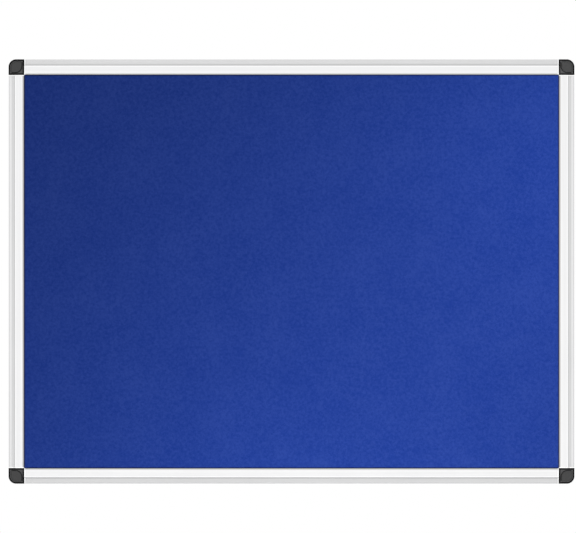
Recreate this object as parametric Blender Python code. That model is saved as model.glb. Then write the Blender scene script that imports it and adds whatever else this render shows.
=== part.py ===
"""Double-sided felt notice board in an aluminium frame, 600 x 450 mm, shown landscape.

Metres, +Z up. The origin is the middle of the board, the blue side faces -Y and the grey side +Y.
Run with: blender --background --python part.py
"""

import math

import bmesh
import bpy
from mathutils import Matrix, Vector

# The board as sold
BOARD_WIDTH = 0.600
BOARD_HEIGHT = 0.450

# Gaps that every piece shares
FIT_GAP = 0.0003
CUT_OVERRUN = 0.002
JOIN_OVERLAP = 0.002

# Panel: a fibreboard core with felt glued to both faces, its four corners clipped at 45 degrees
CORE_THICKNESS = 0.0070
GLUE_LINE = 0.0001
FELT_THICKNESS = 0.0016
FELT_PINCHED = 0.0012
FELT_ROLL = 0.0006
PANEL_PLAY = 0.0010
PANEL_CLIP = 0.0090

# Rail: one extruded section for all four sides, alike front and back. Seen from the front it has a low
# shoulder along the board's edge, with a bead and a shallow cove, then a step up to the wide flat land.
RAIL_WALL = 0.0013
CHAMBER_WIDTH = 0.0056
CHANNEL_DEPTH = 0.0083
SHOULDER_WIDTH = 0.0067
SHOULDER_DROP = 0.0013
BEAD_WIDTH = 0.0022
COVE_SAG = 0.00035
OUTER_RADIUS = 0.0012
STEP_RADIUS = 0.0004
LIP_RADIUS = 0.0009
CHAMBER_RADIUS = 0.0005

# Corner moulding: a block as wide as the rail, with a leg in each of the two rails that it joins
CORNER_RADIUS = 0.0080
CORNER_PROUD = 0.0014
CORNER_EDGE_RADIUS = 0.0007
LEG_LENGTH = 0.0280
LEG_BARB = 0.0003
LEG_RIM = 0.0009
LEG_RIB = 0.0014
LEG_WEB = 0.0014
LEG_TIP = 0.0012
BARB_COUNT = 5
LEG_POCKET_COUNT = 3

# Wall-screw hole through the middle of each corner, countersunk from both sides
SCREW_HOLE_RADIUS = 0.0032
COUNTERSINK_WIDTH = 0.0009
SCREW_SEAT_THICKNESS = 0.0050

# Recess with sloping sides in each face of the corner, and the snap-in cover that lies in it over the screw
RECESS_RIM = 0.0016
RECESS_SLOPE = 0.0010
COVER_SINK = 0.0008
COVER_THICKNESS = 0.0012
COVER_INNER_RADIUS = 0.0064
COVER_END_RADIUS = 0.0008
COVER_EDGE_RADIUS = 0.0002
RING_INSIDE_PLAY = 0.0001
RING_WALL = 0.0008
RING_BEAD = 0.0002
RING_BEAD_HEIGHT = 0.0007
RING_SLOT_WIDTH = 0.0011

# Facets
ARC_STEPS = 6
SMALL_ARC_STEPS = 3
TURN_STEPS = 24

# Closer points of a turned shape are one point
WELD_DISTANCE = 0.00001

# Sizes that follow from the ones above
RAIL_FACE = 2 * RAIL_WALL + CHAMBER_WIDTH + CHANNEL_DEPTH
HALF_FACE = RAIL_FACE / 2
CHANNEL_HALF = CORE_THICKNESS / 2 + GLUE_LINE + FELT_PINCHED + FIT_GAP
RAIL_HALF = CHANNEL_HALF + RAIL_WALL
SHOULDER_HALF = RAIL_HALF - SHOULDER_DROP
WEB_AT = RAIL_FACE - CHANNEL_DEPTH
CHAMBER_HALF = SHOULDER_HALF - COVE_SAG - RAIL_WALL
CHAMBER_LOW = RAIL_WALL
CHAMBER_HIGH = WEB_AT - RAIL_WALL
CORNER_HALF = RAIL_HALF + CORNER_PROUD
COVER_FACE = CORNER_HALF - COVER_SINK
COVER_UNDER = COVER_FACE - COVER_THICKNESS
POCKET_FLOOR = COVER_UNDER - FIT_GAP
COVER_INSET = RECESS_RIM + RECESS_SLOPE + FIT_GAP
COUNTERSINK_RADIUS = SCREW_HOLE_RADIUS + COUNTERSINK_WIDTH
RING_RADIUS = SCREW_HOLE_RADIUS + RING_INSIDE_PLAY + RING_WALL
WELL_RADIUS = RING_RADIUS + RING_BEAD + FIT_GAP
WELL_FLOOR = SCREW_SEAT_THICKNESS / 2
RING_END = WELL_FLOOR + FIT_GAP

QUARTER = math.pi / 2
CORNERS = ("top_left", "top_right", "bottom_right", "bottom_left")
RAILS = ("top_rail", "right_rail", "bottom_rail", "left_rail")
COVER_SIDES = (("front", 0), ("back", math.pi))


def clear_scene():
    for old in list(bpy.data.objects):
        bpy.data.objects.remove(old)


def material(name, colour, roughness, metallic=0.0):
    made = bpy.data.materials.new(name)
    made.use_nodes = True
    shader = made.node_tree.nodes["Principled BSDF"]
    shader.inputs["Base Color"].default_value = (*colour, 1.0)
    shader.inputs["Roughness"].default_value = roughness
    shader.inputs["Metallic"].default_value = metallic
    return made


def arc(centre, radius, start, end, steps=ARC_STEPS):
    """Points on a circle from one angle to another, in degrees, both ends included."""
    angles = [math.radians(start + (end - start) * i / steps) for i in range(steps + 1)]
    return [(centre[0] + radius * math.cos(a), centre[1] + radius * math.sin(a)) for a in angles]


def sagging(start, end, sag, steps=ARC_STEPS):
    """Points of a shallow parabola between two points at one height, without its ends."""
    shares = [i / steps for i in range(1, steps)]
    width = end[0] - start[0]
    return [(start[0] + width * s, start[1] - 4 * sag * s * (1 - s)) for s in shares]


def rounded(corners):
    """An outline from its corners, each (x, z, radius), all convex and listed anticlockwise."""
    points = []
    for i, (x, z, radius) in enumerate(corners):
        if radius <= 0:
            points.append((x, z))
            continue
        before, after = corners[i - 1], corners[(i + 1) % len(corners)]
        toward = math.atan2(z - before[1], x - before[0])
        away = math.atan2(after[1] - z, after[0] - x)
        turn = (away - toward) % (2 * math.pi)
        back = radius * math.tan(turn / 2)
        centre = (
            x - back * math.cos(toward) - radius * math.sin(toward),
            z - back * math.sin(toward) + radius * math.cos(toward),
        )
        first = math.degrees(toward) - 90
        points += arc(centre, radius, first, first + math.degrees(turn))
    return points


def new_object(name, mesh):
    made = bpy.data.objects.new(name, mesh)
    bpy.context.scene.collection.objects.link(made)
    return made


def prism_bmesh(outline, low, high):
    """An (x, z) outline pulled along Y from low to high."""
    shape = bmesh.new()
    face = shape.faces.new([shape.verts.new((x, low, z)) for x, z in outline])
    pulled = bmesh.ops.extrude_face_region(shape, geom=[face])
    moved = [v for v in pulled["geom"] if isinstance(v, bmesh.types.BMVert)]
    bmesh.ops.translate(shape, verts=moved, vec=(0, high - low, 0))
    bmesh.ops.recalc_face_normals(shape, faces=shape.faces)
    return shape


def mesh_from(name, shape):
    mesh = bpy.data.meshes.new(name)
    shape.to_mesh(mesh)
    shape.free()
    return mesh


def prism(name, outline, low, high):
    return new_object(name, mesh_from(name, prism_bmesh(outline, low, high)))


def lofted(name, low_outline, low, high_outline, high):
    """A closed shape between two (x, z) outlines of as many points, one at each end."""
    shape = bmesh.new()
    ends = []
    for outline, y in ((low_outline, low), (high_outline, high)):
        ends.append(shape.faces.new([shape.verts.new((x, y, z)) for x, z in outline]))
    bmesh.ops.bridge_loops(shape, edges=[edge for face in ends for edge in face.edges])
    bmesh.ops.recalc_face_normals(shape, faces=shape.faces)
    return new_object(name, mesh_from(name, shape))


def round_rims(shape, radius, steps=SMALL_ARC_STEPS):
    """Rounds the edges around both ends of a prism."""
    rims = [e for e in shape.edges if abs(e.verts[0].co.y - e.verts[1].co.y) < radius]
    bmesh.ops.bevel(
        shape,
        geom=rims,
        offset=radius,
        offset_type="OFFSET",
        segments=steps,
        profile=0.5,
        affect="EDGES",
        clamp_overlap=True,
        material=-1,
    )


def turned(name, profile, closed):
    """A (radius, y) profile turned about the Y axis. An open profile starts and ends on the axis."""
    shape = bmesh.new()
    verts = [shape.verts.new((radius, y, 0)) for radius, y in profile]
    pairs = list(zip(verts, verts[1:]))
    if closed:
        pairs.append((verts[-1], verts[0]))
    edges = [shape.edges.new(pair) for pair in pairs]
    bmesh.ops.spin(
        shape,
        geom=verts + edges,
        cent=(0, 0, 0),
        axis=(0, 1, 0),
        angle=2 * math.pi,
        steps=TURN_STEPS,
        use_merge=True,
    )
    bmesh.ops.remove_doubles(shape, verts=shape.verts, dist=WELD_DISTANCE)
    bmesh.ops.recalc_face_normals(shape, faces=shape.faces)
    return new_object(name, mesh_from(name, shape))


def combine(base, operation, others):
    """Adds one Boolean for each of the other objects, which become helpers that don't show."""
    for other in others:
        step = base.modifiers.new(f"{operation.lower()} {other.name}", "BOOLEAN")
        step.operation = operation
        step.solver = "EXACT"
        step.object = other
        other.hide_render = True
        other.display_type = "WIRE"


def finished_mesh(base, name):
    """The mesh of an object with its modifiers applied. The object and all helpers are removed."""
    bpy.context.view_layer.update()
    graph = bpy.context.evaluated_depsgraph_get()
    mesh = bpy.data.meshes.new_from_object(base.evaluated_get(graph))
    mesh.name = name
    helpers = [step.object for step in base.modifiers]
    for old in [base, *helpers]:
        bpy.data.objects.remove(old)
    return mesh


def smooth(mesh):
    mesh.shade_smooth()
    mesh.set_sharp_from_angle(angle=math.radians(30))


def rail_outline():
    """Half of the section, from the outer wall over the shoulder and the land to the channel, and its mirror."""
    bead_end = (BEAD_WIDTH, SHOULDER_HALF)
    cove_end = (SHOULDER_WIDTH, SHOULDER_HALF)
    outer_centre = (OUTER_RADIUS, SHOULDER_HALF - OUTER_RADIUS)
    step_centre = (SHOULDER_WIDTH + STEP_RADIUS, RAIL_HALF - STEP_RADIUS)
    lip_centre = (RAIL_FACE - LIP_RADIUS, RAIL_HALF - LIP_RADIUS)
    half = [
        *arc(outer_centre, OUTER_RADIUS, 180, 90, SMALL_ARC_STEPS),
        bead_end,
        *sagging(bead_end, cove_end, COVE_SAG),
        cove_end,
        *arc(step_centre, STEP_RADIUS, 180, 90, SMALL_ARC_STEPS),
        *arc(lip_centre, LIP_RADIUS, 90, 0, SMALL_ARC_STEPS),
        (RAIL_FACE, CHANNEL_HALF),
        (WEB_AT, CHANNEL_HALF),
    ]
    return half + [(u, -w) for u, w in reversed(half)]


def chamber_outline():
    return rounded(
        [
            (CHAMBER_LOW, -CHAMBER_HALF, CHAMBER_RADIUS),
            (CHAMBER_HIGH, -CHAMBER_HALF, CHAMBER_RADIUS),
            (CHAMBER_HIGH, CHAMBER_HALF, CHAMBER_RADIUS),
            (CHAMBER_LOW, CHAMBER_HALF, CHAMBER_RADIUS),
        ]
    )


def rail_curve(name, length):
    """The section as a flat curve with the chamber as its hole, drawn out along the rail."""
    curve = bpy.data.curves.new(name, "CURVE")
    curve.dimensions = "2D"
    curve.fill_mode = "BOTH"
    curve.extrude = length / 2
    for outline in (rail_outline(), chamber_outline()):
        spline = curve.splines.new("POLY")
        spline.points.add(len(outline) - 1)
        for point, (u, w) in zip(spline.points, outline):
            point.co = (u, w, 0, 1)
        spline.use_cyclic_u = True
    return curve


def add_rails(aluminium):
    """The four rails, in the order of the quarter turns from the top one."""
    for turn, name in enumerate(RAILS):
        upright = turn % 2 == 1
        side = BOARD_HEIGHT if upright else BOARD_WIDTH
        curve = rail_curve(name, side - 2 * (RAIL_FACE + FIT_GAP))
        curve.materials.append(aluminium)
        rail = new_object(name, curve)
        rail.rotation_euler = (0, QUARTER * (turn + 1), 0)
        reach = (BOARD_WIDTH if upright else BOARD_HEIGHT) / 2
        rail.location = Matrix.Rotation(QUARTER * turn, 3, "Y") @ Vector((0, 0, reach))


def block_outline():
    """The corner block seen from the front, with the board's outer corner at its upper left."""
    return rounded(
        [
            (-HALF_FACE, -HALF_FACE, 0),
            (HALF_FACE, -HALF_FACE, 0),
            (HALF_FACE, HALF_FACE, 0),
            (-HALF_FACE, HALF_FACE, CORNER_RADIUS),
        ]
    )


def leg_outline():
    """A barbed leg that runs to the right inside the top rail, seen from the front."""
    middle = HALF_FACE - (CHAMBER_LOW + CHAMBER_HIGH) / 2
    half = (CHAMBER_HIGH - CHAMBER_LOW) / 2 - FIT_GAP - LEG_BARB
    root = HALF_FACE - JOIN_OVERLAP
    pitch = (LEG_LENGTH - LEG_TIP) / BARB_COUNT
    edge = [(root, half)]
    for i in range(BARB_COUNT):
        foot = HALF_FACE + FIT_GAP + pitch * i + LEG_RIM
        edge += [(foot, half), (foot, half + LEG_BARB), (foot + pitch - LEG_RIM, half)]
    edge.append((HALF_FACE + LEG_LENGTH, half - LEG_TIP / 2))
    return [(x, middle - across) for x, across in edge] + [
        (x, middle + across) for x, across in reversed(edge)
    ]


def leg_pocket_outlines():
    """The weight-saving pockets moulded into the two wide faces of the leg."""
    middle = HALF_FACE - (CHAMBER_LOW + CHAMBER_HIGH) / 2
    half = (CHAMBER_HIGH - CHAMBER_LOW) / 2 - FIT_GAP - LEG_BARB - LEG_RIM
    pitch = (LEG_LENGTH - LEG_RIB) / LEG_POCKET_COUNT
    outlines = []
    for i in range(LEG_POCKET_COUNT):
        low = HALF_FACE + LEG_RIB + pitch * i
        high = low + pitch - LEG_RIB
        outlines.append(
            [(low, middle - half), (high, middle - half), (high, middle + half), (low, middle + half)]
        )
    return outlines


def across_diagonal(outline):
    """The same outline for the other leg, mirrored in the line from the outer to the inner corner."""
    return [(-z, -x) for x, z in reversed(outline)]


def panel_corner_outline():
    """The room in a corner block for the panel's clipped corner, with the panel's play around it."""
    edge = WEB_AT - HALF_FACE
    clip = PANEL_CLIP + (2 - math.sqrt(2)) * PANEL_PLAY
    reach = HALF_FACE + CUT_OVERRUN
    return [
        (edge, -reach),
        (reach, -reach),
        (reach, -edge),
        (edge + clip, -edge),
        (edge, -edge - clip),
    ]


def cover_outline(grow=0):
    """The cover seen from the front, or the recess around it when grown by the gap and the slope."""
    half = HALF_FACE - COVER_INSET + grow
    return rounded(
        [
            (-half, -half, COVER_END_RADIUS + grow),
            (half, -half, COVER_INNER_RADIUS + grow),
            (half, half, COVER_END_RADIUS + grow),
            (-half, half, CORNER_RADIUS - COVER_INSET + grow),
        ]
    )


def recess_outline(above_cover):
    """The recess at some height above the cover's face, where its sides slope outwards."""
    return cover_outline(FIT_GAP + above_cover * RECESS_SLOPE / COVER_SINK)


def screw_well_profile():
    """Hole, countersinks, wells and snap grooves of both sides, as one shape to turn and cut away."""
    groove_top = RING_END + RING_BEAD_HEIGHT + FIT_GAP
    half = [
        (SCREW_HOLE_RADIUS, WELL_FLOOR - COUNTERSINK_WIDTH),
        (COUNTERSINK_RADIUS, WELL_FLOOR),
        (WELL_RADIUS + RING_BEAD, WELL_FLOOR),
        (WELL_RADIUS + RING_BEAD, groove_top),
        (WELL_RADIUS, groove_top + RING_BEAD),
        (WELL_RADIUS, POCKET_FLOOR + FIT_GAP),
        (0, POCKET_FLOOR + FIT_GAP),
    ]
    return [(radius, -y) for radius, y in reversed(half)] + half


def build_corner_mesh():
    """The corner moulding of the board's upper left corner, with its origin on the screw's axis."""
    shape = prism_bmesh(block_outline(), -CORNER_HALF, CORNER_HALF)
    round_rims(shape, CORNER_EDGE_RADIUS)
    block = new_object("block", mesh_from("block", shape))
    leg_half = CHAMBER_HALF - FIT_GAP
    legs = [
        prism("leg to the right", leg_outline(), -leg_half, leg_half),
        prism("leg down", across_diagonal(leg_outline()), -leg_half, leg_half),
    ]
    cuts = [
        prism("panel room", panel_corner_outline(), -CHANNEL_HALF, CHANNEL_HALF),
        turned("screw wells", screw_well_profile(), closed=False),
    ]
    pocket = recess_outline(0)
    mouth = recess_outline(COVER_SINK + CUT_OVERRUN)
    leg_pockets = leg_pocket_outlines()
    leg_pockets += [across_diagonal(outline) for outline in leg_pockets]
    for side in (-1, 1):
        outside = side * (CORNER_HALF + CUT_OVERRUN)
        low, high = sorted((side * POCKET_FLOOR, outside))
        cuts.append(prism(f"cover pocket {side}", pocket, low, high))
        cuts.append(lofted(f"recess {side}", pocket, side * COVER_FACE, mouth, outside))
        low, high = sorted((side * LEG_WEB / 2, side * (leg_half + CUT_OVERRUN)))
        cuts += [prism(f"leg pocket {side}", outline, low, high) for outline in leg_pockets]
    combine(block, "UNION", legs)
    combine(block, "DIFFERENCE", cuts)
    mesh = finished_mesh(block, "corner moulding")
    smooth(mesh)
    return mesh


def snap_ring_profile():
    """The ring under the cover, with the bead that clicks into the groove of the well."""
    inner = RING_RADIUS - RING_WALL
    top = -(COVER_UNDER + COVER_FACE) / 2
    end = -RING_END
    bead_top = end - RING_BEAD_HEIGHT
    return [
        (inner, top),
        (RING_RADIUS, top),
        (RING_RADIUS, bead_top),
        (RING_RADIUS + RING_BEAD, bead_top + RING_BEAD),
        (RING_RADIUS, end),
        (inner, end),
    ]


def build_cover_mesh():
    """A cover of the front side, upper left, with its face towards -Y and its origin on the screw's axis."""
    shape = prism_bmesh(cover_outline(), -COVER_FACE, -COVER_UNDER)
    round_rims(shape, COVER_EDGE_RADIUS)
    plate = new_object("plate", mesh_from("plate", shape))
    ring = turned("snap ring", snap_ring_profile(), closed=True)
    reach = RING_RADIUS + CUT_OVERRUN
    half = RING_SLOT_WIDTH / 2
    slots = [
        prism("slot across", [(-reach, -half), (reach, -half), (reach, half), (-reach, half)], -COVER_UNDER, 0),
        prism("slot up", [(-half, -reach), (half, -reach), (half, reach), (-half, reach)], -COVER_UNDER, 0),
    ]
    combine(plate, "UNION", [ring])
    combine(plate, "DIFFERENCE", slots)
    mesh = finished_mesh(plate, "corner cover")
    smooth(mesh)
    return mesh


def add_corners(moulding_plastic, cover_plastic):
    """Four mouldings and eight covers. Each corner is the upper left one turned by quarter turns about Y."""
    moulding_mesh = build_corner_mesh()
    moulding_mesh.materials.append(moulding_plastic)
    cover_mesh = build_cover_mesh()
    cover_mesh.materials.append(cover_plastic)
    x, z = BOARD_WIDTH / 2 - HALF_FACE, BOARD_HEIGHT / 2 - HALF_FACE
    places = ((-x, z), (x, z), (x, -z), (-x, -z))
    for turn, (corner, place) in enumerate(zip(CORNERS, places)):
        centre = new_object(f"centre_{corner}", None)
        centre.location = (place[0], 0, place[1])
        moulding = new_object(f"corner_moulding_{corner}", moulding_mesh)
        moulding.parent = centre
        moulding.rotation_euler = (0, QUARTER * turn, 0)
        for side, flip in COVER_SIDES:
            cover = new_object(f"{side}_cover_{corner}", cover_mesh)
            cover.parent = centre
            # Turned over about Z, the upper left cover lands in the upper right, so it turns on from there.
            quarters = turn if flip == 0 else turn - 1
            turned_over = Matrix.Rotation(QUARTER * quarters, 4, "Y") @ Matrix.Rotation(flip, 4, "Z")
            cover.rotation_euler = turned_over.to_euler()


def panel_outline():
    """The panel's rectangle with its corners clipped."""
    x = BOARD_WIDTH / 2 - WEB_AT - PANEL_PLAY
    z = BOARD_HEIGHT / 2 - WEB_AT - PANEL_PLAY
    c = PANEL_CLIP
    return [
        (-x + c, -z),
        (x - c, -z),
        (x, -z + c),
        (x, z - c),
        (x - c, z),
        (-x + c, z),
        (-x, z - c),
        (-x, -z + c),
    ]


def build_felt_mesh():
    """A felt sheet of the front side: pinched thin under the lips, full between them."""
    back = -(CORE_THICKNESS / 2 + GLUE_LINE)
    sheet = prism("sheet", panel_outline(), back - FELT_PINCHED, back)
    x = BOARD_WIDTH / 2 - RAIL_FACE - FIT_GAP
    z = BOARD_HEIGHT / 2 - RAIL_FACE - FIT_GAP
    low = back - FELT_PINCHED / 2
    high = back - FELT_THICKNESS
    shape = prism_bmesh([(-x, -z), (x, -z), (x, z), (-x, z)], high, low)
    hidden = [v for v in shape.verts if v.co.y > (low + high) / 2]
    bmesh.ops.scale(shape, verts=hidden, vec=((x + FELT_ROLL) / x, 1, (z + FELT_ROLL) / z))
    field = new_object("field", mesh_from("field", shape))
    combine(sheet, "UNION", [field])
    return finished_mesh(sheet, "felt")


def add_panel(blue, grey, fibreboard):
    core = prism("core_board", panel_outline(), -CORE_THICKNESS / 2, CORE_THICKNESS / 2)
    core.data.materials.append(fibreboard)
    felt_mesh = build_felt_mesh()
    for name, felt, turn in (("blue_felt", blue, 0), ("grey_felt", grey, math.pi)):
        mesh = felt_mesh.copy()
        mesh.materials.append(felt)
        sheet = new_object(name, mesh)
        sheet.rotation_euler = (0, 0, turn)


def main():
    clear_scene()
    aluminium = material("anodised aluminium", (0.82, 0.82, 0.84), 0.38, 1.0)
    moulding_plastic = material("black moulded plastic", (0.012, 0.012, 0.013), 0.45)
    cover_plastic = material("dark grey moulded plastic", (0.075, 0.075, 0.078), 0.50)
    blue = material("blue felt", (0.016, 0.045, 0.270), 0.95)
    grey = material("grey felt", (0.390, 0.400, 0.430), 0.95)
    fibreboard = material("soft fibreboard", (0.360, 0.250, 0.150), 0.90)
    add_rails(aluminium)
    add_corners(moulding_plastic, cover_plastic)
    add_panel(blue, grey, fibreboard)


main()
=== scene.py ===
# %% [markdown]
# Double-sided felt notice board in an aluminium frame, 600 x 450 mm.
# One face is covered in blue felt and the other in grey felt, and black corner mouldings join four
# aluminium rails. A flat cover snaps into each side of each moulding and hides the wall screw.
# Every piece but the core board is remodelled here around the imported CAD model, in metres: X runs
# along the board, Z runs up, and the blue side faces -Y. The CAD says where a piece is, and this
# script says how it looks.

# %% Load the imported model
import math

import bmesh
import bpy
from mathutils import Matrix, Vector, noise


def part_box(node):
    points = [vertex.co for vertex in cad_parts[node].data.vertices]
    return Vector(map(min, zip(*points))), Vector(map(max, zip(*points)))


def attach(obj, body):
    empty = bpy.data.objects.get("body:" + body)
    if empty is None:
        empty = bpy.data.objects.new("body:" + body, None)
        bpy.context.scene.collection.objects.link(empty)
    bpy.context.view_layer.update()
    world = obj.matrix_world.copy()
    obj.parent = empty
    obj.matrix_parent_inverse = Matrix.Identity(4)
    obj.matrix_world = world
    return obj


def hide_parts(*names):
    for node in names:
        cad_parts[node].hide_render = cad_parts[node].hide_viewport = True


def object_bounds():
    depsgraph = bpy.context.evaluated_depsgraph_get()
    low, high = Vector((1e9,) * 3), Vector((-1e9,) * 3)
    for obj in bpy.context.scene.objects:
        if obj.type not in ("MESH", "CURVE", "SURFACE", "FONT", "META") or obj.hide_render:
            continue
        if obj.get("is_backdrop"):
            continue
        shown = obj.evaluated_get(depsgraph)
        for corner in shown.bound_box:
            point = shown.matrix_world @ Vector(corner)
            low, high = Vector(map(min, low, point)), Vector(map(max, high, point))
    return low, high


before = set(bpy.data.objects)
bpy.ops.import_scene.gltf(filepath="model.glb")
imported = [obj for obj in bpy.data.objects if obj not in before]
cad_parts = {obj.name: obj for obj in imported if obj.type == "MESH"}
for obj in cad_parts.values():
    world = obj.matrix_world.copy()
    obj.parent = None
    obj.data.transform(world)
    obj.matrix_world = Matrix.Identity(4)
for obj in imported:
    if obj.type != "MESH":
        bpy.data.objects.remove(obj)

cad_low, cad_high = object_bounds()


def in_mm(lengths):
    """Lengths in millimetres, rounded for the printed checks."""
    return [round(1000 * length, 2) for length in lengths]


print("size in mm:", in_mm(cad_high - cad_low))

# %% [markdown]
# The sizes below are the ones that this script and the CAD share. A maker draws a notice board in
# millimetres, so they are written in millimetres and multiplied once. Across the frame, a distance
# "in from the edge" starts at the board's outer edge. Through the board, a "face" height starts at
# the middle plane, because the back is a mirror image of the front.

# %% Shared sizes
MM = 0.001
BOARD_WIDTH = 600 * MM
BOARD_HEIGHT = 450 * MM
FIT_GAP = 0.3 * MM
RAIL_FACE = 16.5 * MM
CORNER_FACE = 7.8 * MM
WEB_IN = 8.2 * MM
QUARTER = math.pi / 2
CORNERS = ("top_left", "top_right", "bottom_right", "bottom_left")
RAILS = ("top_rail", "right_rail", "bottom_rail", "left_rail")

low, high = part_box("top_rail")
print("top rail from the CAD, mm:", in_mm(high - low))

# %% [markdown]
# The camera comes first, because every later choice is judged through it. The photograph shows the
# board square on, with no visible perspective, so a long lens stands far back at the board's own
# height. This lens and sensor give 4800 pixels for each unit of size over distance, which sets how
# far back it stands, and a few millimetres of offset put the board where it is in the frame.

# %% Camera
LENS = 300
SENSOR = 36
IMAGE_WIDTH = 576
IMAGE_HEIGHT = 533
BOARD_PIXELS = 565.9
BOARD_CENTRE = (291.5, 271.5)

scene = bpy.context.scene


def add_object(name, data):
    """An object in the scene, made from a camera, a lamp or a mesh."""
    made = bpy.data.objects.new(name, data)
    scene.collection.objects.link(made)
    return made


pixels_per_metre = BOARD_PIXELS / BOARD_WIDTH
stand_back = LENS / SENSOR * IMAGE_WIDTH / pixels_per_metre
camera_data = bpy.data.cameras.new("camera")
camera_data.lens = LENS
camera_data.sensor_width = SENSOR
camera = add_object("camera", camera_data)
camera.location = (
    (IMAGE_WIDTH / 2 - BOARD_CENTRE[0]) / pixels_per_metre,
    -stand_back - CORNER_FACE,
    (BOARD_CENTRE[1] - IMAGE_HEIGHT / 2) / pixels_per_metre,
)
camera.rotation_euler = (QUARTER, 0, 0)
scene.camera = camera
print("camera at", [round(c, 4) for c in camera.location])

# %% [markdown]
# The world, the floor and all the finishes are made of nodes, so a few small helpers come next.
# Nodes could be made and linked one line at a time, but that takes three lines for every one here.
# Instead, each helper makes a node with its inputs, where an input takes either a value or the
# output that feeds it. Effects that several finishes share are shader node groups, built once:
# they only give out masks and heights, and the shader stays outside.

# %% Node helpers
WHITE = (1.0, 1.0, 1.0, 1.0)
ORIGIN = (0.0, 0.0, 0.0)


def feed(tree, node, inputs):
    """Gives a node its inputs, each as a value or as the output that feeds it."""
    for name, value in inputs.items():
        if isinstance(value, bpy.types.NodeSocket):
            tree.links.new(value, node.inputs[name])
        else:
            node.inputs[name].default_value = value


def add_node(tree, kind, inputs=None, **settings):
    """A node of one kind, with its settings and its inputs."""
    made = tree.nodes.new("ShaderNode" + kind)
    for name, value in settings.items():
        setattr(made, name, value)
    feed(tree, made, inputs or {})
    return made


def calculate(tree, operation, *values):
    """The result of a Math node."""
    return add_node(tree, "Math", dict(enumerate(values)), operation=operation).outputs[0]


def map_range(tree, value, before, after=(0.0, 1.0), **settings):
    """A value stretched from one range to another."""
    labels = ("Value", "From Min", "From Max", "To Min", "To Max")
    inputs = dict(zip(labels, (value, *before, *after)))
    return add_node(tree, "MapRange", inputs, **settings).outputs["Result"]


def add_noise(tree, place, scale, **details):
    """The grey value of a noise texture."""
    return add_node(tree, "TexNoise", {"Vector": place, "Scale": scale, **details}).outputs["Fac"]


def mix_colours(tree, factor, first, second, **settings):
    """Two colours mixed by a mask."""
    inputs = {"Factor": factor, "A": first, "B": second}
    return add_node(tree, "Mix", inputs, data_type="RGBA", **settings).outputs["Result"]


def add_ramp(tree, factor, stops):
    """The colour of a ramp through (position, colour) stops."""
    ramp = add_node(tree, "ValToRGB", {"Fac": factor})
    elements = ramp.color_ramp.elements
    for i, (at, colour) in enumerate(stops):
        stop = elements[i] if i < 2 else elements.new(at)
        stop.position = at
        stop.color = (*colour, 1)
    return ramp.outputs["Color"]


def add_bump(tree, shader, height, strength, distance):
    """Feeds a height to the shader's normal. Distance is how high the relief is, in metres."""
    bump = add_node(tree, "Bump", {"Height": height, "Strength": strength, "Distance": distance})
    feed(tree, shader, {"Normal": bump.outputs["Normal"]})


def new_group(name, inputs, outputs):
    """An empty node group and its two end nodes. A float makes a float input, the rest vectors."""
    group = bpy.data.node_groups.new(name, "ShaderNodeTree")
    for label, value in inputs.items():
        kind = "NodeSocketFloat" if isinstance(value, float) else "NodeSocketVector"
        group.interface.new_socket(label, in_out="INPUT", socket_type=kind).default_value = value
    for label in outputs:
        group.interface.new_socket(label, in_out="OUTPUT", socket_type="NodeSocketFloat")
    return group, group.nodes.new("NodeGroupInput"), group.nodes.new("NodeGroupOutput")


def new_material(name, roughness, specular, more=None):
    """A material, its tree, and its shader with the values that are the same all over."""
    made = bpy.data.materials.new(name)
    made.use_nodes = True
    tree = made.node_tree
    shader = tree.nodes["Principled BSDF"]
    feed(tree, shader, {"Roughness": roughness, "Specular IOR Level": specular, **(more or {})})
    return made, tree, shader


def object_place(tree):
    """Object coordinates, which move with a piece and are in metres."""
    return add_node(tree, "TexCoord").outputs["Object"]


print("node helpers ready")

# %% [markdown]
# A product photograph on white is lit by large soft sources in a pale room. The world does both
# jobs. It is pure white where the camera looks at it, and where metal mirrors it. It is dimmer as a
# light on the object, so that the lamps can still model the shapes. Light Path tells the rays apart.

# %% World
WORLD_LIGHT = 0.34

scene.view_settings.view_transform = "Standard"
world = bpy.data.worlds.new("white studio")
scene.world = world
world.use_nodes = True
tree = world.node_tree
tree.nodes.clear()
rays = add_node(tree, "LightPath").outputs
seen = calculate(tree, "MAXIMUM", rays["Is Camera Ray"], rays["Is Glossy Ray"])
seen = calculate(tree, "MAXIMUM", seen, rays["Is Transmission Ray"])
light = add_node(tree, "Background", {"Color": WHITE, "Strength": WORLD_LIGHT})
white = add_node(tree, "Background", {"Color": WHITE, "Strength": 1.0})
choose = add_node(tree, "MixShader", {"Fac": seen, 1: light.outputs[0], 2: white.outputs[0]})
add_node(tree, "OutputWorld", {"Surface": choose.outputs[0]})
print("world lights the object at", WORLD_LIGHT)

# %% [markdown]
# In the photograph the felt is darkest at the upper left and lightest at the right and the bottom.
# One far lamp would light it evenly, so two small ones stand close, where light falls off quickly:
# the key lamp at the upper right, which aims low across the board, and a low lamp beneath it. Metal
# mirrors neither of them. It mirrors only a weak, wide front lamp, which lifts its faces. A lamp
# behind the board lights its grey side. The camera sees no lamp, as in a photograph's frame.

# %% Lamps
def soft_lamp(name, place, target, size, watts, mirrored=False):
    """A square area lamp that faces a target. The camera can't see it, and metal only if asked."""
    data = bpy.data.lights.new(name, "AREA")
    data.shape = "SQUARE"
    data.size = size
    data.energy = watts
    lamp = add_object(name, data)
    lamp.location = place
    lamp.rotation_euler = (Vector(target) - Vector(place)).to_track_quat("-Z", "Y").to_euler()
    lamp.visible_camera = False
    lamp.visible_glossy = mirrored


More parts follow.
